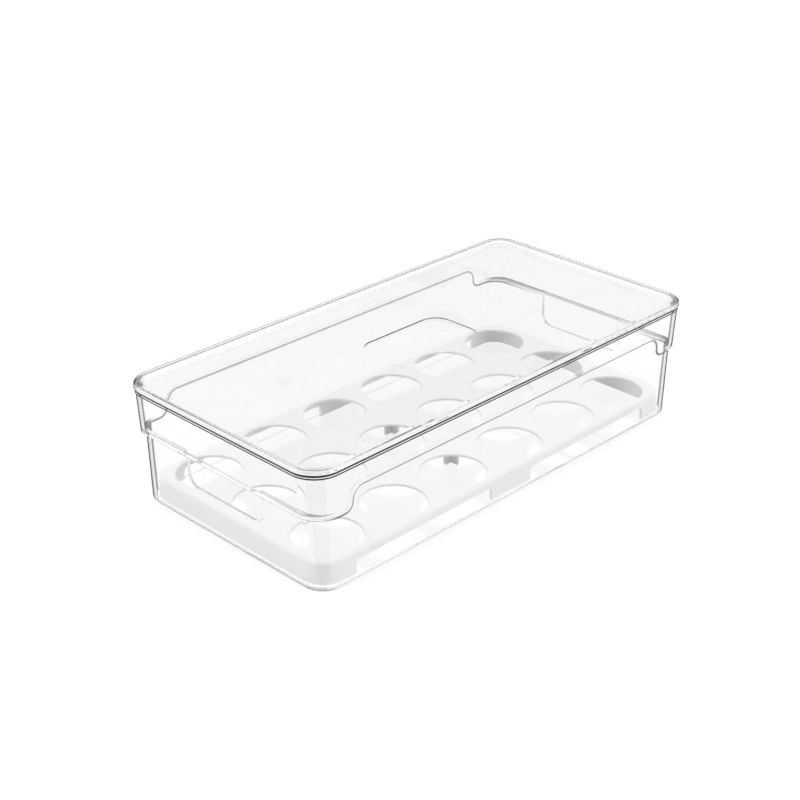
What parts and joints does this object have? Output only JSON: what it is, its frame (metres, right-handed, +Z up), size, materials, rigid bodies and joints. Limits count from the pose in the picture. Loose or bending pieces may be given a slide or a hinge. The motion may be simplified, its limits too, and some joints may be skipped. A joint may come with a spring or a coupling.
{
  "type": "egg holder",
  "caption": "Clear lidded fridge bin with a white drop-in tray whose round holes hold eggs upright; the lid and then the tray lift off.",
  "frame": {"origin": "on the table, under the middle of the bin", "axes": "+X along the bin, +Y across it, +Z up; the picture looks from -X and -Y, from above"},
  "size_m": [0.33, 0.1646, 0.0785],
  "materials": {
    "clear_bin": "clear moulded plastic, polished, no colour",
    "white_tray": "opaque white moulded plastic, fine matte",
    "clear_lid": "clear moulded plastic, polished, no colour"
  },
  "bodies": {
    "container": {"container": "clear_bin"},
    "egg_tray": {"egg_tray": "white_tray"},
    "lid": {"lid": "clear_lid"}
  },
  "joints": [
    {"name": "lid_lift", "type": "slide", "parent": "container", "child": "lid", "axis": [0, 0, 1], "range_m": [0, 0.18]},
    {"name": "tray_lift", "type": "slide", "parent": "container", "child": "egg_tray", "axis": [0, 0, 1], "range_m": [0, 0.09]}
  ],
  "couplings": [
    {"joint": "tray_lift", "follows": "lid_lift", "ratio": 0.5}
  ]
}
